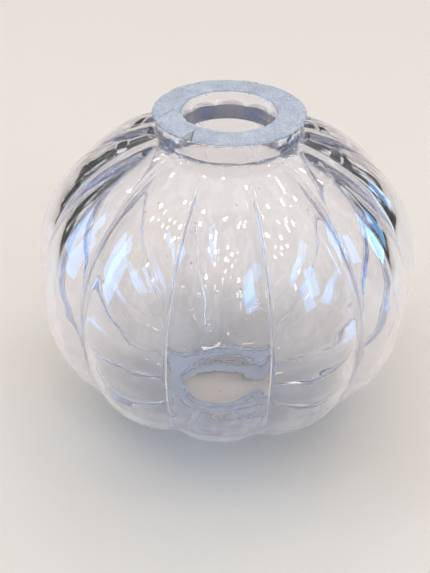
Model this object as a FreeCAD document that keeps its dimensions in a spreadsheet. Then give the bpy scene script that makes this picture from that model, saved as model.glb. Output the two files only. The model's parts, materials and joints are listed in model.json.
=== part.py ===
"""Melon-ribbed glass ball for the stem of a chandelier or lamp, open and ground flat at both ends.

The ball is one hollow glass. It is drawn as three solids that meet face to face:
  lobed_globe    the blown wall, twelve convex lobes with sharp grooves between them
  top_collar     the thick ring at the upper opening, its end face ground flat
  bottom_collar  the same ring at the lower opening, which the ball stands on
Millimetres, +Z up along the stem's axis. The origin is the centre of the lower ground face, and the
crest of one lobe points along -Y.
"""

import FreeCAD
import Part
import math
import os

import Sketcher

App = FreeCAD
ORIGIN = App.Vector(0, 0, 0)
UP = App.Vector(0, 0, 1)

DRIVING_SIZES = [
    # alias, size, what it is
    ("lobe_count", 12, "lobes round the ball"),
    ("crest_radius", 50.0, "axis to the crest of a lobe, at the equator"),
    ("groove_depth", 3.5, "crest to groove outside, at the equator"),
    ("dome_height", 41.6, "equator to where the outer outline would close on the axis"),
    ("dome_fullness", 2.19, "exponent of the outer outline: 2 is an ellipse, more is squarer"),
    ("crest_wall", 2.8, "glass at a crest, at the equator"),
    ("groove_wall", 3.2, "glass at a groove, at the equator"),
    ("shoulder_wall", 3.8, "glass between the two outlines where they would close at the top"),
    ("shoulder_fullness", 2.0, "exponent of the cavity's upper outline"),
    ("sole_wall", 2.0, "glass between the two outlines where they would close at the bottom"),
    ("sole_fullness", 2.3, "exponent of the cavity's lower outline"),
    ("cavity_drop", 1.0, "outer equator down to the cavity's, as the soft glass sank"),
    ("foot_radius", 17.3, "collar where it leaves the lobes"),
    ("rim_radius", 18.4, "collar at its ground face"),
    ("bore_radius", 11.4, "straight opening for the stem"),
    ("collar_height", 5.5, "collar's foot to its ground face"),
    ("rim_break", 0.3, "small chamfer that keeps the ground face from chipping"),
]

# Lofted sections from the equator to each end of an outline, at equal steps of its angle.
SECTIONS_TO_END = 4
SECTION_SHARES = [step / SECTIONS_TO_END for step in range(-SECTIONS_TO_END, SECTIONS_TO_END + 1)]
# The cavity runs on to this share of the bore's radius, so the bore cuts its ends away.
CAVITY_END_SHARE = 0.8


def make_sizes(doc):
    """The spreadsheet that drives every sketch."""
    sheet = doc.addObject("Spreadsheet::Sheet", "Sizes")
    for row, (alias, size, note) in enumerate(DRIVING_SIZES, start=1):
        sheet.set(f"A{row}", alias)
        sheet.set(f"B{row}", str(size))
        sheet.set(f"C{row}", note)
        sheet.setAlias(f"B{row}", alias)
    doc.recompute()
    return sheet


def origin_feature(body, role):
    """One of the body's own origin planes or axes."""
    return next(f for f in body.Origin.OriginFeatures if f.Role == role)


def new_sketch(body, name, plane):
    sketch = body.newObject("Sketcher::SketchObject", name)
    sketch.AttachmentSupport = (origin_feature(body, plane), [""])
    sketch.MapMode = "FlatFace"
    return sketch


def drive(sketch, constraint, expression):
    """Adds a dimension and binds it to an expression of the sheet's cells."""
    index = sketch.addConstraint(constraint)
    sketch.setExpression(f"Constraints[{index}]", expression)


def outline(share, radius, height, end_radius, fullness):
    """Radius and height on a superelliptic outline, as expressions.

    share is the part of the way from the equator, 0, to the ends, 1 and -1, where the outline has
    drawn in to end_radius.
    """
    end_angle = f"acos(({end_radius} / ({radius}))^({fullness} / 2))"
    angle = f"({abs(share)} * {end_angle})"
    power = f"(2 / {fullness})"
    side = -1 if share < 0 else 1
    return (
        f"(({radius}) * cos({angle})^{power})",
        f"({side} * ({height}) * sin({angle})^{power})",
    )


# A groove's radius over its crests' radius. The lobes end where their grooves have drawn in to
# the collar's foot, so the collar stands wholly on them.
GROOVE_SHARE = "(1 - Sizes.groove_depth / Sizes.crest_radius)"
DOME_END_RADIUS = f"(Sizes.foot_radius / {GROOVE_SHARE})"
INNER_CREST = "(Sizes.crest_radius - Sizes.crest_wall)"
INNER_GROOVE = "(Sizes.crest_radius - Sizes.groove_depth - Sizes.groove_wall)"


def outer_outline(share):
    return outline(
        share, "Sizes.crest_radius", "Sizes.dome_height", DOME_END_RADIUS, "Sizes.dome_fullness"
    )


def cavity_outline(share):
    """The cavity hangs a little low, with more glass over its shoulder than under its sole."""
    end_radius = f"({CAVITY_END_SHARE} * Sizes.bore_radius)"
    if share < 0:
        height = "Sizes.dome_height - Sizes.sole_wall - Sizes.cavity_drop"
        fullness = "Sizes.sole_fullness"
    else:
        height = "Sizes.dome_height - Sizes.shoulder_wall + Sizes.cavity_drop"
        fullness = "Sizes.shoulder_fullness"
    crest, level = outline(share, INNER_CREST, height, end_radius, fullness)
    return crest, f"({level} - Sizes.cavity_drop)"


# The collars' feet are this far above and below the equator.
FOOT_LEVEL = outer_outline(1)[1]
# Height of the equator over the lower ground face.
MIDDLE_LEVEL = f"(Sizes.collar_height + {FOOT_LEVEL})"


def lobed_section(body, name, crest, groove, level, lobes):
    """A closed ring of equal arcs that touch the crest circle and meet on the groove circle."""
    sketch = new_sketch(body, name, "XY_Plane")
    sketch.setExpression("AttachmentOffset.Base.z", level)

    # Worked-out start values, so that the solver only has to confirm them.
    crest_now = float(sketch.evalExpression(crest))
    groove_now = float(sketch.evalExpression(groove))
    half = math.pi / lobes
    inset = (crest_now**2 - groove_now**2) / (
        2 * (crest_now - groove_now * math.cos(half))
    )
    sweep = math.atan2(groove_now * math.sin(half), groove_now * math.cos(half) - inset)

    arcs = []
    for lobe in range(lobes):
        turn = 2 * half * lobe
        centre = App.Vector(inset * math.cos(turn), inset * math.sin(turn), 0)
        circle = Part.Circle(centre, UP, crest_now - inset)
        arcs.append(Part.ArcOfCircle(circle, turn - sweep, turn + sweep))
    sketch.addGeometry(arcs, False)
    crest_circle = sketch.addGeometry(Part.Circle(ORIGIN, UP, crest_now), True)
    groove_circle = sketch.addGeometry(Part.Circle(ORIGIN, UP, groove_now), True)

    rules = [
        Sketcher.Constraint("Coincident", crest_circle, 3, -1, 1),
        Sketcher.Constraint("Coincident", groove_circle, 3, -1, 1),
        Sketcher.Constraint("PointOnObject", 0, 3, -1),
    ]
    for lobe in range(lobes):
        rules.append(Sketcher.Constraint("Coincident", lobe, 2, (lobe + 1) % lobes, 1))
        rules.append(Sketcher.Constraint("PointOnObject", lobe, 2, groove_circle))
        rules.append(Sketcher.Constraint("Tangent", lobe, crest_circle))
        if lobe:
            rules.append(Sketcher.Constraint("Equal", 0, lobe))
    sketch.addConstraint(rules)
    drive(sketch, Sketcher.Constraint("Radius", crest_circle, crest_now), crest)
    drive(sketch, Sketcher.Constraint("Radius", groove_circle, groove_now), groove)
    return sketch


def lobed_loft(body, kind, name, outline_at, groove_share, lobes):
    """Lofts lobed sections up an outline. Grooves keep their share of the radius all the way."""
    sections = []
    for number, share in enumerate(SECTION_SHARES):
        crest, level = outline_at(share)
        groove = f"({crest} * {groove_share})"
        sections.append(
            lobed_section(body, f"{name}Section{number}", crest, groove, level, lobes)
        )
    loft = body.newObject(kind, name)
    loft.Profile = sections[0]
    loft.Sections = sections[1:]
    body.Document.recompute()
    return loft


def make_globe(doc, lobes):
    """The lobed wall: an outer loft, a lobed cavity, and the bore through both shoulders."""
    body = doc.addObject("PartDesign::Body", "LobedGlobe")
    body.Label = "lobed_globe"

    lobed_loft(body, "PartDesign::AdditiveLoft", "Wall", outer_outline, GROOVE_SHARE, lobes)
    inner_share = f"({INNER_GROOVE} / {INNER_CREST})"
    lobed_loft(body, "PartDesign::SubtractiveLoft", "Cavity", cavity_outline, inner_share, lobes)

    bore_sketch = new_sketch(body, "BoreSketch", "XY_Plane")
    circle = bore_sketch.addGeometry(Part.Circle(ORIGIN, UP, 1), False)
    bore_sketch.addConstraint(Sketcher.Constraint("Coincident", circle, 3, -1, 1))
    drive(bore_sketch, Sketcher.Constraint("Radius", circle, 1), "Sizes.bore_radius")
    bore = body.newObject("PartDesign::Pocket", "Bore")
    bore.Profile = bore_sketch
    bore.Type = "ThroughAll"
    bore.Midplane = True
    body.setExpression("Placement.Base.z", MIDDLE_LEVEL)
    return body


def make_collar(doc, name, label, upside_down):
    """The ring at one opening, revolved: a flared outer side, a ground face and the bore."""
    body = doc.addObject("PartDesign::Body", name)
    body.Label = label
    profile = new_sketch(body, name + "Profile", "XZ_Plane")

    corners = [(2, 0), (4, 0), (5, 3), (4, 4), (3, 4), (2, 3)]
    points = [App.Vector(x, y, 0) for x, y in corners]
    lines = [
        Part.LineSegment(points[i], points[(i + 1) % len(points)])
        for i in range(len(points))
    ]
    foot, side, outer_break, face, inner_break, wall = range(len(lines))
    profile.addGeometry(lines, False)
    rules = [
        Sketcher.Constraint("Horizontal", foot),
        Sketcher.Constraint("Horizontal", face),
        Sketcher.Constraint("Vertical", wall),
        Sketcher.Constraint("PointOnObject", foot, 1, -1),
    ]
    for line in range(len(lines)):
        rules.append(Sketcher.Constraint("Coincident", line, 2, (line + 1) % len(lines), 1))
    profile.addConstraint(rules)
    def drive_span(direction, first, second, expression):
        """A horizontal or vertical distance between two ends of the profile's lines."""
        drive(profile, Sketcher.Constraint(direction, *first, *second, 1), expression)

    origin = (-1, 1)
    drive_span("DistanceX", origin, (foot, 1), "Sizes.bore_radius")
    drive_span("DistanceX", origin, (foot, 2), "Sizes.foot_radius")
    drive_span("DistanceX", origin, (side, 2), "Sizes.rim_radius")
    drive_span("DistanceY", origin, (face, 1), "Sizes.collar_height")
    drive_span("DistanceX", (outer_break, 2), (outer_break, 1), "Sizes.rim_break")
    drive_span("DistanceY", (outer_break, 1), (outer_break, 2), "Sizes.rim_break")
    drive_span("DistanceX", (inner_break, 2), (inner_break, 1), "Sizes.rim_break")
    drive_span("DistanceY", (inner_break, 2), (inner_break, 1), "Sizes.rim_break")

    ring = body.newObject("PartDesign::Revolution", name + "Ring")
    ring.Profile = profile
    ring.ReferenceAxis = (origin_feature(body, "Z_Axis"), [""])
    ring.Angle = 360
    if upside_down:
        body.Placement = App.Placement(ORIGIN, App.Rotation(App.Vector(1, 0, 0), 180))
        body.setExpression("Placement.Base.z", "Sizes.collar_height")
    else:
        top_foot = f"{MIDDLE_LEVEL} + {FOOT_LEVEL}"
        body.setExpression("Placement.Base.z", top_foot)
    return body


def check(doc, bodies):
    """Stops if an object failed or a solid is not sound."""
    for item in doc.Objects:
        if {"Invalid", "Error"} & set(item.State):
            raise RuntimeError(f"{item.Label} failed: {item.State}")
    for body in bodies:
        shape = body.Shape
        if shape.isNull() or not shape.isValid() or len(shape.Solids) != 1:
            raise RuntimeError(f"{body.Label} is not one sound solid")


def main():
    doc = App.newDocument("RibbedGlassBall")
    sheet = make_sizes(doc)
    lobes = int(sheet.lobe_count)
    bodies = [
        make_globe(doc, lobes),
        make_collar(doc, "TopCollar", "top_collar", upside_down=False),
        make_collar(doc, "BottomCollar", "bottom_collar", upside_down=True),
    ]
    doc.recompute()
    check(doc, bodies)
    os.makedirs("parts", exist_ok=True)
    for body in bodies:
        body.Shape.exportStep(f"parts/{body.Label}.step")
        box = body.Shape.BoundBox
        print(body.Label, f"volume {body.Shape.Volume:.1f} mm3", box)


main()
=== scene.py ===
"""Looks for the ribbed glass stem ball: one blown glass, its two ground ends, and a plain studio.

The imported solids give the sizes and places. All lengths are metres.
"""
import json
import math

import bpy
from mathutils import Matrix, Vector


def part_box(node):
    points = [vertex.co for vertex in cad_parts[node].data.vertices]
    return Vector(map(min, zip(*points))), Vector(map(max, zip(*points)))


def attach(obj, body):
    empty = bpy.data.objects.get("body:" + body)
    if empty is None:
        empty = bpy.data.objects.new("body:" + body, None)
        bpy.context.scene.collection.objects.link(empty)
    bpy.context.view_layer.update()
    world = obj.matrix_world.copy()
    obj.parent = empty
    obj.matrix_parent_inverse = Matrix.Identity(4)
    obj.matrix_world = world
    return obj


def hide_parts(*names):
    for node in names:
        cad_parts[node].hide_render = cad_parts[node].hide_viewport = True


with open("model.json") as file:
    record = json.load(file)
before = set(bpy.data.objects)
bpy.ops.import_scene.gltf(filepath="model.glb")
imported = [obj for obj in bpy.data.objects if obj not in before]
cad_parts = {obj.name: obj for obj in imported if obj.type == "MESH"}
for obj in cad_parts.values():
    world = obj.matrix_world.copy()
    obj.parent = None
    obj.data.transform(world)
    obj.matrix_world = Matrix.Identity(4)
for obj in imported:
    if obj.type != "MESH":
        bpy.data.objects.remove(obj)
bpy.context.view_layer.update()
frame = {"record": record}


# ---------------------------------------------------------------------------------------------
# The glass ball. It is blown into a mould with twelve ribs, so it has convex lobes with sharp
# grooves outside and softer ridges inside. Both ends are cut off and ground flat, and it stays
# one piece: the wall, the thick collars, the bores and the matt end faces are the same glass.
# ---------------------------------------------------------------------------------------------

globe_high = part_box("lobed_globe")[1]
collar_low, collar_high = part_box("top_collar")
mounts = {mount["name"]: mount for mount in frame["record"]["mounts"]}

LOBES = 12
CREST_RADIUS = globe_high.y
RIM_RADIUS = collar_high.x
BORE_RADIUS = mounts["top_bore"]["dims"]["r_mm"] / 1000
BALL_HEIGHT = collar_high.z
MIDDLE = BALL_HEIGHT / 2
FOOT_LEVEL = collar_low.z - MIDDLE
RIM_LEVEL = collar_high.z - MIDDLE

DOME_HEIGHT = 0.0416
DOME_FULLNESS = 2.19
DOME_END_RADIUS = 0.0186
GROOVE_SHARE = 0.07
FOOT_RADIUS = 0.0173
EDGE_BREAK = 0.0003

# The soft glass sank as it was blown: the hollow sits low and the shoulder is thicker than the
# sole. Its ridges stand a little deeper than the grooves outside. The hollow is 0.3 mm smaller
# than in the solids, because the waver only ever sinks into the glass.
CAVITY_RADIUS = CREST_RADIUS - 0.0031
CAVITY_DROP = 0.0010
CAVITY_RISE = 0.0385
CAVITY_FALL = 0.0383
SHOULDER_FULLNESS = 2.0
SOLE_FULLNESS = 2.3
RIDGE_SHARE = 0.083
BORE_EDGE = 0.0010
# At the top the hollow reaches a little further up round the bore.
BORE_LIFT = 0.0008
# Its ridges fade in over the first ten rows from a bore.
BORE_ROWS = 10
DOME_STEPS = 42

# Cords are level streaks of stiffer glass, and CORD_SHARE is their part in the wall's waver.
# NIBBLE_DEPTH sets how deeply grinding bit the edges. The chip's apex is on the top face, and a
# dark stone is stuck in the collar's side.
CORD_SHARE = 0.8
NIBBLE_DEPTH = 0.0045
CHIP_APEX = (-0.0076, -0.0115, BALL_HEIGHT)
STONE_PLACE = (0.01404, -0.01158, BALL_HEIGHT - 0.0014)


class Field:
    """A socket of a node tree. Arithmetic adds Math nodes, and make() adds any other node."""

    def __init__(self, tree, socket):
        self.tree = tree
        self.socket = socket

    def make(self, kind, settings=None, inputs=None, output=0):
        node = self.tree.nodes.new(kind)
        for name, value in (settings or {}).items():
            setattr(node, name, value)
        for key, value in (inputs or {}).items():
            if isinstance(value, Field):
                self.tree.links.new(value.socket, node.inputs[key])
            else:
                node.inputs[key].default_value = value
        return Field(self.tree, node.outputs[output])

    def maths(self, operation, *values):
        inputs = dict(enumerate([self, *values]))
        return self.make("ShaderNodeMath", {"operation": operation}, inputs)

    def __add__(self, other):
        return self.maths("ADD", other)

    def __mul__(self, other):
        return self.maths("MULTIPLY", other)

    def __sub__(self, other):
        return self.maths("SUBTRACT", other)

    def __truediv__(self, other):
        return self.maths("DIVIDE", other)

    def __rsub__(self, other):
        return self * -1 + other

    def __pow__(self, other):
        return self.maths("POWER", other)

    __radd__ = __add__
    __rmul__ = __mul__

    def step(self, low, high, to_low=0.0, to_high=1.0):
        """A smooth step from to_low, where this is at low, to to_high, where it is at high."""
        settings = {"interpolation_type": "SMOOTHSTEP"}
        inputs = {0: self, 1: low, 2: high, 3: to_low, 4: to_high}
        return self.make("ShaderNodeMapRange", settings, inputs)


def dome(radius, height, fullness, end_radius, steps):
    """Radius and level on a domed outline, from the equator up to where it draws in."""
    end_angle = math.acos((end_radius / radius) ** (fullness / 2))
    power = 2 / fullness
    for step in range(steps + 1):
        angle = end_angle * step / steps
        yield radius * math.cos(angle) ** power, height * math.sin(angle) ** power


def bend(start, corner, end, steps):
    """Points on a curve that leaves start towards corner and reaches end from it."""
    shares = [step / steps for step in range(1, steps + 1)]
    return [
        tuple(
            (1 - share) ** 2 * a + 2 * share * (1 - share) * b + share**2 * c
            for a, b, c in zip(start, corner, end)
        )
        for share in shares
    ]


def straight(start, end, steps):
    return bend(start, [(a + b) / 2 for a, b in zip(start, end)], end, steps)


def section_rows(points, ribs=(0, 0), roundness=0.0, waver=0.0, ground=0, nibble=0):
    """Rows of the section, each with its radius, its level and how the glass is there.

    That is how fully it is ribbed, how round its ribs' edges are, how much the hand-blown surface
    wavers, whether it is ground and how deeply its edge is nibbled.
    """
    points = list(points)
    rows = []
    for number, (radius, level) in enumerate(points):
        share = (number + 1) / len(points)
        ribbed = ribs[0] + (ribs[1] - ribs[0]) * share * share * (3 - 2 * share)
        rows.append((radius, level, ribbed, roundness, waver, ground, nibble))
    return rows


def outside_half():
    """From the outer equator up over the dome and the collar to the bore's edge."""
    outer_end = (DOME_END_RADIUS, FOOT_LEVEL)
    waist = (FOOT_RADIUS + 0.0004, FOOT_LEVEL + 0.0024)
    waist_corner = (FOOT_RADIUS, FOOT_LEVEL + 0.0004)
    side_top = (RIM_RADIUS, RIM_LEVEL - EDGE_BREAK)
    face_outer = (RIM_RADIUS - EDGE_BREAK, RIM_LEVEL)
    face_inner = (BORE_RADIUS + EDGE_BREAK, RIM_LEVEL)
    bore_top = (BORE_RADIUS, RIM_LEVEL - EDGE_BREAK)
    wall = dome(CREST_RADIUS, DOME_HEIGHT, DOME_FULLNESS, DOME_END_RADIUS, DOME_STEPS)
    rows = section_rows(wall, ribs=(1, 1), roundness=0.03, waver=0.00016)
    rows += section_rows(bend(outer_end, waist_corner, waist, 7), ribs=(1, 0), roundness=0.05)
    rows += section_rows(straight(waist, side_top, 8)[:-1], waver=0.0001)
    rows += section_rows([side_top], ground=1, nibble=0.7)
    rows += section_rows([face_outer], ground=1, nibble=1)
    face = straight(face_outer, face_inner, 15)
    rows += section_rows(face[:1], ground=1, nibble=0.5)
    rows += section_rows(face[1:-1], ground=1)
    rows += section_rows(face[-1:], ground=1, nibble=0.6)
    rows += section_rows([bore_top], ground=1, nibble=0.5)
    return rows


def inside_half(height, fullness, side):
    """From the bore's edge down the bore and round its inner edge to the cavity's equator."""
    outline = list(dome(CAVITY_RADIUS, height, fullness, BORE_RADIUS + BORE_EDGE, DOME_STEPS))
    cavity = []
    for row, (radius, level) in enumerate(outline[::-1]):
        lift = BORE_LIFT * max(0, 1 - row / BORE_ROWS) ** 2 if side > 0 else 0
        cavity.append((radius, level - side * CAVITY_DROP + lift))
    bore_top = (BORE_RADIUS, RIM_LEVEL - EDGE_BREAK)
    bore_bottom = (BORE_RADIUS, cavity[0][1] + BORE_EDGE)
    edge_corner = (BORE_RADIUS, cavity[0][1])
    ridge = RIDGE_SHARE / GROOVE_SHARE
    rows = section_rows(straight(bore_top, bore_bottom, 9))
    rows += section_rows(bend(bore_bottom, edge_corner, cavity[0], 4))
    rows += section_rows(cavity[1:BORE_ROWS], ribs=(0, ridge), roundness=0.12, waver=0.0002)
    rows += section_rows(cavity[BORE_ROWS:], ribs=(ridge, ridge), roundness=0.12, waver=0.0004)
    return rows


def section_object():
    """The whole closed section as a ring of vertices that carry their rows as attributes."""
    outside = outside_half()
    upper_inside = inside_half(CAVITY_RISE, SHOULDER_FULLNESS, 1)
    lower_inside = inside_half(CAVITY_FALL, SOLE_FULLNESS, -1)
    lower = (outside + lower_inside)[1:-1]
    rows = outside + upper_inside
    rows += [(row[0], -row[1], *row[2:]) for row in lower[::-1]]
    mesh = bpy.data.meshes.new("glass_section")
    mesh.from_pydata([(row[0], 0, row[1] + MIDDLE) for row in rows], [], [])
    for column, name in enumerate(("ribbed", "roundness", "waver", "ground", "nibble"), 2):
        attribute = mesh.attributes.new(name, "FLOAT", "POINT")
        attribute.data.foreach_set("value", [row[column] for row in rows])
    obj = bpy.data.objects.new("glass_section", mesh)
    bpy.context.scene.collection.objects.link(obj)
    return obj


def along(place, start, direction):
    """How far a place lies from start, measured along a direction."""
    inputs = {0: place, 1: start}
    from_start = place.make("ShaderNodeVectorMath", {"operation": "SUBTRACT"}, inputs)
    inputs = {0: from_start, 1: direction}
    return place.make("ShaderNodeVectorMath", {"operation": "DOT_PRODUCT"}, inputs, 1)


def beyond_chip_line(place, apex):
    """How far a place lies beyond the chip's long line. It is 0 outside the chip's two sides."""
    beyond = along(place, apex, (0.800, -0.599, 0))
    return beyond.maths("MAXIMUM", 0.0) * along(place, apex, (-0.998, 0.055, 0)).step(0, 0.0001)


def glass_tree():
    """Turns the section round the axis, ribs it, wavers and nibbles it, and adds seeds."""
    tree = bpy.data.node_groups.new("blown_glass", "GeometryNodeTree")
    faces = tree.interface
    faces.new_socket("Section", in_out="INPUT", socket_type="NodeSocketGeometry")
    for name, kind in (
        ("Lobes", "Int"),
        ("Steps in a Lobe", "Int"),
        ("Rows", "Int"),
        ("Groove Share", "Float"),
        ("Chip Apex", "Vector"),
        ("Chip Slope", "Float"),
        ("Seeds per Square Metre", "Float"),
        ("Seed Depth", "Float"),
        ("Random Seed", "Int"),
        ("Clear Glass", "Material"),
        ("Ground Glass", "Material"),
    ):
        faces.new_socket(name, in_out="INPUT", socket_type="NodeSocket" + kind)
    faces.new_socket("Glass", in_out="OUTPUT", socket_type="NodeSocketGeometry")
    entry = tree.nodes.new("NodeGroupInput")
    given = {socket.name: Field(tree, socket) for socket in entry.outputs if socket.name}
    section = given["Section"]
    lobes = given["Lobes"]

    # A flat grid: across is round the ball, up is along the section.
    steps_round = lobes * given["Steps in a Lobe"]
    counts = {"Vertices X": steps_round + 1, "Vertices Y": given["Rows"] + 1}
    grid = section.make("GeometryNodeMeshGrid", None, {"Size X": 1.0, "Size Y": 1.0, **counts})
    place = section.make("GeometryNodeInputPosition")
    flat_x = place.make("ShaderNodeSeparateXYZ", None, {0: place}, 0)
    flat_y = place.make("ShaderNodeSeparateXYZ", None, {0: place}, 1)
    row = ((flat_y + 0.5) * given["Rows"]).maths("ROUND").maths("MODULO", given["Rows"])

    def from_row(value, kind="FLOAT"):
        inputs = {"Geometry": section, "Value": value, "Index": row}
        return section.make("GeometryNodeSampleIndex", {"data_type": kind}, inputs)

    def attribute(name):
        inputs = {"Name": name}
        return section.make("GeometryNodeInputNamedAttribute", {"data_type": "FLOAT"}, inputs)

    point = from_row(place, "FLOAT_VECTOR")
    radius = point.make("ShaderNodeSeparateXYZ", None, {0: point}, 0)
    level = point.make("ShaderNodeSeparateXYZ", None, {0: point}, 2)
    ribbed = from_row(attribute("ribbed"))
    roundness = from_row(attribute("roundness"))

    # Steps crowd towards the grooves where the wall is ribbed, so the grooves stay sharp.
    turns = (flat_x + 0.5) * lobes
    across = turns.maths("FRACT") * 2 - 1
    crowded = (across * (math.pi / 2)).maths("SINE")
    from_crest = across + (crowded - across) * ribbed
    half_lobe = lobes ** -1.0 * math.pi
    angle = (turns.maths("FLOOR") * 2 + 1 + from_crest) * half_lobe

    # A lobe's section is an arc inside the crest circle, through the grooves on either side.
    to_groove = 1 - from_crest.maths("ABSOLUTE")
    softened = 1 - (to_groove * to_groove + roundness * roundness).maths("SQRT")
    turn = softened * half_lobe
    groove = 1 - given["Groove Share"] * ribbed
    centre = (1 - groove * groove) / ((1 - groove * half_lobe.maths("COSINE")) * 2)
    reach = (1 - centre) ** 2.0 - (centre * turn.maths("SINE")) ** 2.0
    share = centre * turn.maths("COSINE") + reach.maths("SQRT")
    ribbed_radius = radius * share

    crest_turn = angle - half_lobe
    ring = {
        0: ribbed_radius * crest_turn.maths("COSINE"),
        1: ribbed_radius * crest_turn.maths("SINE"),
        2: level,
    }
    turned = section.make("ShaderNodeCombineXYZ", None, ring)
    body = grid
    for name in ("waver", "ground", "nibble"):
        inputs = {"Geometry": body, "Name": name, "Value": from_row(attribute(name))}
        body = section.make("GeometryNodeStoreNamedAttribute", {"data_type": "FLOAT"}, inputs)
    body = section.make("GeometryNodeSetPosition", None, {"Geometry": body, "Position": turned})
    body = section.make("GeometryNodeMergeByDistance", None, {"Geometry": body, "Distance": 1e-6})

    # The blown wall wavers, and grinding nibbles the edges of the end faces.
    normal = section.make("GeometryNodeInputNormal")
    waves = section.make("ShaderNodeTexNoise", None, {"Vector": place, "Scale": 55.0, "Detail": 1.0})
    teeth = section.make("ShaderNodeTexNoise", None, {"Vector": place, "Scale": 900.0, "Detail": 2.0})
    bite = (teeth - 0.5).maths("MAXIMUM", 0.0) * attribute("nibble") * NIBBLE_DEPTH
    inputs = {0: place, 1: (1.0, 1.0, 3.2)}
    flattened = section.make("ShaderNodeVectorMath", {"operation": "MULTIPLY"}, inputs)
    inputs = {"Vector": flattened, "Scale": 62.0, "Detail": 1.0}
    cords = section.make("ShaderNodeTexNoise", None, inputs)
    sunk = (waves + cords * CORD_SHARE - 1 - CORD_SHARE) * attribute("waver") - bite
    offset = section.make("ShaderNodeVectorMath", {"operation": "SCALE"}, {0: normal, 3: sunk})
    body = section.make("GeometryNodeSetPosition", None, {"Geometry": body, "Offset": offset})

    # A chip broke from the top face's edge: its plane falls away outwards from the apex.
    height = place.make("ShaderNodeSeparateXYZ", None, {0: place}, 2)
    beyond = beyond_chip_line(place, given["Chip Apex"])
    above = (height - BALL_HEIGHT + beyond * given["Chip Slope"]).maths("MAXIMUM", 0.0)
    drop = above * beyond.maths("GREATER_THAN", 0.0) * -1
    offset = section.make("ShaderNodeCombineXYZ", None, {2: drop})
    body = section.make("GeometryNodeSetPosition", None, {"Geometry": body, "Offset": offset})

    # Seeds are small bubbles of air in the wall: voids, whose faces look into them.
    scatter = section.make(
        "GeometryNodeDistributePointsOnFaces",
        None,
        {
            "Mesh": body,
            "Selection": attribute("waver") - 0.0001,
            "Density": given["Seeds per Square Metre"],
            "Seed": given["Random Seed"],
        },
    )
    inward = Field(tree, scatter.socket.node.outputs["Normal"])
    depth = given["Seed Depth"] * -1
    drop = section.make("ShaderNodeVectorMath", {"operation": "SCALE"}, {0: inward, 3: depth})
    points = section.make("GeometryNodeSetPosition", None, {"Geometry": scatter, "Offset": drop})
    bubble = section.make("GeometryNodeMeshIcoSphere", None, {"Radius": 0.00022, "Subdivisions": 3})
    sizes = section.make(
        "FunctionNodeRandomValue",
        {"data_type": "FLOAT_VECTOR"},
        {0: (0.3, 0.3, 0.6), 1: (1.0, 1.0, 1.9), "Seed": given["Random Seed"]},
    )
    bubbles = section.make(
        "GeometryNodeInstanceOnPoints", None, {"Points": points, "Instance": bubble, "Scale": sizes}
    )
    bubbles = section.make("GeometryNodeRealizeInstances", None, {"Geometry": bubbles})
    bubbles = section.make("GeometryNodeFlipFaces", None, {"Mesh": bubbles})

    joined = tree.nodes.new("GeometryNodeJoinGeometry")
    tree.links.new(bubbles.socket, joined.inputs[0])
    tree.links.new(body.socket, joined.inputs[0])
    glass = Field(tree, joined.outputs[0])
    glass = section.make("GeometryNodeSetShadeSmooth", None, {"Geometry": glass, "Shade Smooth": True})
    glass = section.make("GeometryNodeRealizeInstances", None, {"Geometry": glass})
    inputs = {"Geometry": glass, "Material": given["Clear Glass"]}
    glass = section.make("GeometryNodeSetMaterial", None, inputs)
    is_ground = attribute("ground").maths("GREATER_THAN", 0.9)
    inputs = {"Geometry": glass, "Selection": is_ground, "Material": given["Ground Glass"]}
    glass = section.make("GeometryNodeSetMaterial", None, inputs)
    leave = tree.nodes.new("NodeGroupOutput")
    tree.links.new(glass.socket, leave.inputs[0])
    return tree


def new_material(name):
    """An empty material with a Principled shader, and a Field to make its other nodes with."""
    material = bpy.data.materials.new(name)
    material.use_nodes = True
    tree = material.node_tree
    shader = tree.nodes["Principled BSDF"]
    texture = tree.nodes.new("ShaderNodeTexCoord")
    return material, shader, Field(tree, texture.outputs["Object"])


def tint_glass(place):
    """Thick glass takes a little of the light: long ways through it look lavender grey."""
    tint = {"Color": (0.71, 0.71, 0.79, 1), "Density": 17.0}
    volume = place.make("ShaderNodeVolumeAbsorption", None, tint)
    output = place.tree.nodes["Material Output"]
    place.tree.links.new(volume.socket, output.inputs["Volume"])


def clear_glass():
    """Clear glass with a breath of lavender, fire-polished but never quite even."""
    material, shader, place = new_material("clear_glass")
    shader.inputs["IOR"].default_value = 1.5
    shader.inputs["Transmission Weight"].default_value = 1.0
    tree = place.tree
    film = place.make("ShaderNodeTexNoise", None, {"Vector": place, "Scale": 70.0, "Detail": 4.0})
    specks = place.make("ShaderNodeTexNoise", None, {"Vector": place, "Scale": 1500.0, "Detail": 1.0})
    dust = specks.step(0.70, 0.78)
    haze = film.step(0.56, 0.75, 0.0, 0.035) + dust * 0.25
    tree.links.new(haze.socket, shader.inputs["Roughness"])
    tint = place.make(
        "ShaderNodeMix",
        {"data_type": "RGBA"},
        {0: film, 6: (0.99, 0.985, 1.0, 1), 7: (0.97, 0.965, 0.99, 1)},
        2,
    )
    inputs = {0: place, 1: STONE_PLACE}
    stone = place.make("ShaderNodeVectorMath", {"operation": "DISTANCE"}, inputs, 1)
    inputs = {0: stone.step(0.0007, 0.0011, 1.0, 0.0), 6: tint, 7: (0.01, 0.01, 0.012, 1)}
    tint = place.make("ShaderNodeMix", {"data_type": "RGBA"}, inputs, 2)
    tree.links.new(tint.socket, shader.inputs["Base Color"])
    ripple = place.make("ShaderNodeTexNoise", None, {"Vector": place, "Scale": 90.0, "Detail": 1.0})
    inputs = {"Strength": 0.03, "Distance": 0.001, "Height": ripple}
    bump = place.make("ShaderNodeBump", None, inputs)
    tree.links.new(bump.socket, shader.inputs["Normal"])
    tint_glass(place)
    return material


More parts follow.
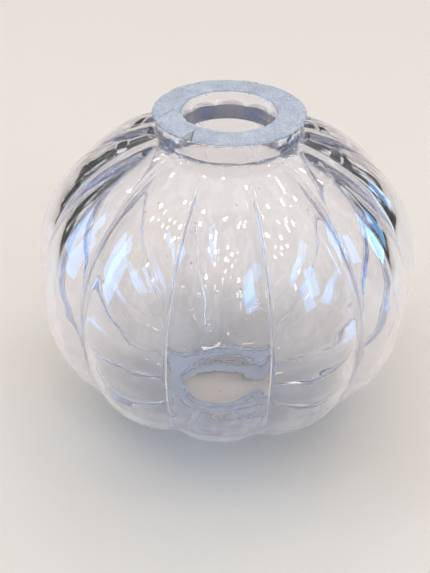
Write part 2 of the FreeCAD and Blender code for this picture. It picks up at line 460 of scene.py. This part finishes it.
def ground_glass():
    """The matt end faces: sugary grit over clear glass, one thin crack and a clear chip, with painted
    shade on the chip and along its broken side and painted light that whitens the lower face.
    """
    material, shader, place = new_material("ground_glass")
    shader.inputs["IOR"].default_value = 1.5
    shader.inputs["Transmission Weight"].default_value = 1.0
    tree = place.tree
    grit = place.make("ShaderNodeTexNoise", None, {"Vector": place, "Scale": 2200.0, "Detail": 3.0})
    cloud = place.make("ShaderNodeTexNoise", None, {"Vector": place, "Scale": 260.0, "Detail": 5.0})
    height = place.make("ShaderNodeSeparateXYZ", None, {0: place}, 2)
    # lower is 1 near the floor. It makes the lower face whiter than the top face of the same glass:
    # painted light for the brighter light that reaches it through the ball.
    lower = height.step(0.003, 0.006, 1.0, 0.0)

    # The chip is smooth, and painted shade darkens it and its broken side. The crack is a thin
    # wandering line.
    beside = along(place, CHIP_APEX, (-0.998, 0.055, 0))
    chip = beyond_chip_line(place, CHIP_APEX).step(0.0, 0.0003) * beside.step(0.0002, 0.0004)
    chip_edge_painted_shade = along(place, CHIP_APEX, (0.800, -0.599, 0)).step(0.0, 0.0003)
    chip_edge_painted_shade = chip_edge_painted_shade * (beside - 0.0001).maths("ABSOLUTE").step(0.0001, 0.0003, 1.0, 0.0)
    wander = (cloud - 0.5) * 0.0008
    crack_start = (-0.0162, -0.0056, 0)
    aside = (along(place, crack_start, (0.846, -0.533, 0)) + wander).maths("ABSOLUTE")
    length = along(place, crack_start, (0.533, 0.846, 0))
    crack = aside.step(0.00008, 0.00026, 1.0, 0.0) * length.step(-0.0004, 0.0002)
    crack = crack * length.step(0.0054, 0.0062, 1.0, 0.0)
    # Dark marks, kept off the lower face: the crack's line, and painted shade along the chip's broken
    # side.
    crack_and_painted_shade = (chip_edge_painted_shade * 0.8 + crack * 0.4) * (1 - lower)

    tree.links.new((0.48 - chip * 0.32 + grit * 0.1).socket, shader.inputs["Roughness"])
    shade = cloud.step(0.3, 0.7) * (1 - crack_and_painted_shade)
    colour = place.make(
        "ShaderNodeMix",
        {"data_type": "RGBA"},
        {0: shade, 6: (0.70, 0.74, 0.84, 1), 7: (1.0, 1.0, 1.0, 1)},
        2,
    )
    tree.links.new(colour.socket, shader.inputs["Base Color"])
    inputs = {"Strength": 0.35, "Distance": 0.0003, "Height": grit + cloud}
    bump = place.make("ShaderNodeBump", None, inputs)
    tree.links.new(bump.socket, shader.inputs["Normal"])

    # The crushed grains scatter light both ways, and between them the face is greyer. On the lower
    # face only white grains show, with no see-through share and full cover, as painted light.
    grey = place.make("ShaderNodeBsdfDiffuse", None, {"Color": (0.41, 0.46, 0.56, 1), "Normal": bump})
    white = place.make("ShaderNodeBsdfDiffuse", None, {"Color": (0.86, 0.92, 1.0, 1), "Normal": bump})
    through = place.make("ShaderNodeBsdfTranslucent", None, {"Color": (0.95, 0.97, 1.0, 1)})
    grain = cloud.step(0.3, 0.7) * 0.3 + grit.step(0.40, 0.60) * (0.65 - chip * 0.5)
    inputs = {0: grain.maths("MAXIMUM", lower), 1: grey, 2: white}
    grains = place.make("ShaderNodeMixShader", None, inputs)
    inputs = {0: (1 - lower) * (1 - chip) * 0.25, 1: grains, 2: through}
    grains = place.make("ShaderNodeMixShader", None, inputs)
    # Painted shade: a grey-tan diffuse over the chip stands in for the darker look into its clear
    # glass.
    chip_painted_shade = place.make("ShaderNodeBsdfDiffuse", None, {"Color": (0.36, 0.34, 0.32, 1)})
    grains = place.make("ShaderNodeMixShader", None, {0: chip * 0.7, 1: grains, 2: chip_painted_shade})
    # A black diffuse draws the crack and the painted shade along the chip's broken side.
    black = place.make("ShaderNodeBsdfDiffuse", None, {"Color": (0.04, 0.045, 0.06, 1)})
    grains = place.make("ShaderNodeMixShader", None, {0: crack_and_painted_shade, 1: grains, 2: black})
    cover = (0.7 + crack_and_painted_shade * 0.3).maths("MAXIMUM", lower)
    surface = Field(tree, shader.outputs["BSDF"])
    mixed = place.make("ShaderNodeMixShader", None, {0: cover, 1: surface, 2: grains})
    tree.links.new(mixed.socket, tree.nodes["Material Output"].inputs["Surface"])
    tint_glass(place)
    return material


def blow_glass():
    """Runs the tree on the section and keeps the result as a plain mesh."""
    section = section_object()
    tree = glass_tree()
    sizes = {
        "Lobes": LOBES,
        "Steps in a Lobe": 24,
        "Rows": len(section.data.vertices),
        "Groove Share": GROOVE_SHARE,
        "Chip Apex": CHIP_APEX,
        "Chip Slope": 0.12,
        "Seeds per Square Metre": 1600.0,
        "Seed Depth": 0.0015,
        "Random Seed": 4,
        "Clear Glass": clear_glass(),
        "Ground Glass": ground_glass(),
    }
    modifier = section.modifiers.new("blown_glass", "NODES")
    modifier.node_group = tree
    for item in tree.interface.items_tree:
        if item.name in sizes:
            modifier[item.identifier] = sizes[item.name]
    evaluated = section.evaluated_get(bpy.context.evaluated_depsgraph_get())
    mesh = bpy.data.meshes.new_from_object(evaluated)
    ball = bpy.data.objects.new("glass_ball", mesh)
    bpy.context.scene.collection.objects.link(ball)
    bpy.data.objects.remove(section)
    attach(ball, "root")
    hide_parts("lobed_globe", "top_collar", "bottom_collar")
    return ball


glass_ball = blow_glass()


# ---------------------------------------------------------------------------------------------
# The studio: a pale floor, soft lamps and window-shaped softboxes, and the camera. None of it
# belongs to the ball.
# ---------------------------------------------------------------------------------------------

def lay_floor():
    size = 4.0
    mesh = bpy.data.meshes.new("studio_floor")
    # The ground face stands on a few high grains, so the floor is a hair lower.
    gap = -0.0002
    corners = [(-size, -size, gap), (size, -size, gap), (size, size, gap), (-size, size, gap)]
    mesh.from_pydata(corners, [], [(0, 1, 2, 3)])
    floor = bpy.data.objects.new("studio_floor", mesh)
    bpy.context.scene.collection.objects.link(floor)
    material, shader, place = new_material("studio_floor")
    shader.inputs["Roughness"].default_value = 0.9
    shader.inputs["Base Color"].default_value = (0.64, 0.585, 0.52, 1)
    mesh.materials.append(material)


LAMP_DISTANCE = 0.9
WINDOW_BLUE = (0.16, 0.50, 1.0)


def away_from_ball(azimuth, elevation):
    """A direction from the ball. Azimuth 0 is in front of it and 90 is to its right."""
    turn, rise = math.radians(azimuth), math.radians(elevation)
    return Vector(
        (math.sin(turn) * math.cos(rise), -math.cos(turn) * math.cos(rise), math.sin(rise))
    )


def hang_window(name, azimuth, elevation, width, height, power):
    """A rectangular lamp as blue as a window in daylight."""
    away = away_from_ball(azimuth, elevation)
    lamp = bpy.data.lights.new(name, "AREA")
    lamp.shape = "RECTANGLE"
    lamp.size, lamp.size_y = width, height
    lamp.energy = power
    lamp.color = WINDOW_BLUE
    obj = bpy.data.objects.new(name, lamp)
    obj.location = Vector((0, 0, MIDDLE)) + away * LAMP_DISTANCE
    obj.rotation_mode = "QUATERNION"
    obj.rotation_quaternion = away.to_track_quat("Z", "Y")
    bpy.context.scene.collection.objects.link(obj)


def hang_bulb(name, azimuth, elevation):
    """A small warm lamp, which gives each lobe a sparkle."""
    lamp = bpy.data.lights.new(name, "POINT")
    lamp.shadow_soft_size = 0.025
    lamp.energy = 0.7
    lamp.color = (1.0, 0.86, 0.68)
    obj = bpy.data.objects.new(name, lamp)
    obj.location = Vector((0, 0, MIDDLE)) + away_from_ball(azimuth, elevation) * LAMP_DISTANCE
    bpy.context.scene.collection.objects.link(obj)


def fill_world():
    world = bpy.data.worlds.new("studio")
    world.use_nodes = True
    tree = world.node_tree
    texture = tree.nodes.new("ShaderNodeTexCoord")
    towards = Field(tree, texture.outputs["Generated"])
    up = towards.make("ShaderNodeSeparateXYZ", None, {0: towards}, 2)
    room = towards.make("ShaderNodeTexNoise", None, {"Vector": towards, "Scale": 7.0, "Detail": 3.0})
    glow = up.step(0.25, 0.85, 0.06, 1.15) + room.step(0.52, 0.60, 0.0, 0.8)

    # Straight behind the ball there is only a plain pale backdrop.
    seen = towards.make("ShaderNodeLightPath")
    glow = glow * 0.9 * (1 - seen) + seen * 0.78
    shade = tree.nodes["Background"]
    shade.inputs["Color"].default_value = (1.0, 0.985, 0.97, 1)
    tree.links.new(glow.socket, shade.inputs["Strength"])
    bpy.context.scene.world = world


def place_camera():
    """Looks down on the ball from the front, a little to the right of the front lobe's crest."""
    azimuth, elevation = math.radians(1.34), math.radians(35.27)
    tilt, pan, roll = math.radians(1.62), math.radians(-0.894), math.radians(0.951)
    distance = 4.3185 * CREST_RADIUS
    spin = Matrix.Rotation(azimuth, 3, "Z")
    eye = spin @ Vector((0, -math.cos(elevation), math.sin(elevation))) * distance
    drop = elevation + tilt
    ahead = spin @ Vector(
        (math.sin(pan) * math.cos(drop), math.cos(pan) * math.cos(drop), -math.sin(drop))
    )
    level_right = spin @ Vector((math.cos(pan), -math.sin(pan), 0))
    level_up = level_right.cross(ahead)
    right = math.cos(roll) * level_right + math.sin(roll) * level_up
    up = math.cos(roll) * level_up - math.sin(roll) * level_right
    camera_data = bpy.data.cameras.new("camera")
    camera_data.lens = 50.08
    camera = bpy.data.objects.new("camera", camera_data)
    turn = Matrix((right, up, -ahead)).transposed()
    camera.matrix_world = Matrix.Translation(eye + Vector((0, 0, MIDDLE))) @ turn.to_4x4()
    bpy.context.scene.collection.objects.link(camera)
    bpy.context.scene.camera = camera


lay_floor()
fill_world()
hang_window("window_left", -86, 20, width=0.32, height=0.46, power=3.4)
hang_window("window_right", 46, 28, width=0.25, height=0.30, power=1.8)
hang_window("window_back", 112, 16, width=0.20, height=0.30, power=1.3)
bulb_turns = (
    [(-42, 66), (-30, 72), (-18, 60), (8, 56), (15, 64), (24, 58), (62, 70), (74, 64)]
    + [(-80, 60), (-95, 66), (120, 55), (132, 62), (175, 62), (190, 68), (-140, 56), (5, 84)]
    + [(-28, 40), (30, 38), (160, 40), (-165, 36)]
)
for number, (azimuth, elevation) in enumerate(bulb_turns):
    hang_bulb(f"bulb_{number}", azimuth, elevation)
place_camera()
bpy.context.scene.view_settings.view_transform = "Standard"

# Light turns many times inside a thick collar before it leaves.
cycles = bpy.context.scene.cycles
cycles.max_bounces = cycles.transmission_bounces = cycles.glossy_bounces = 40
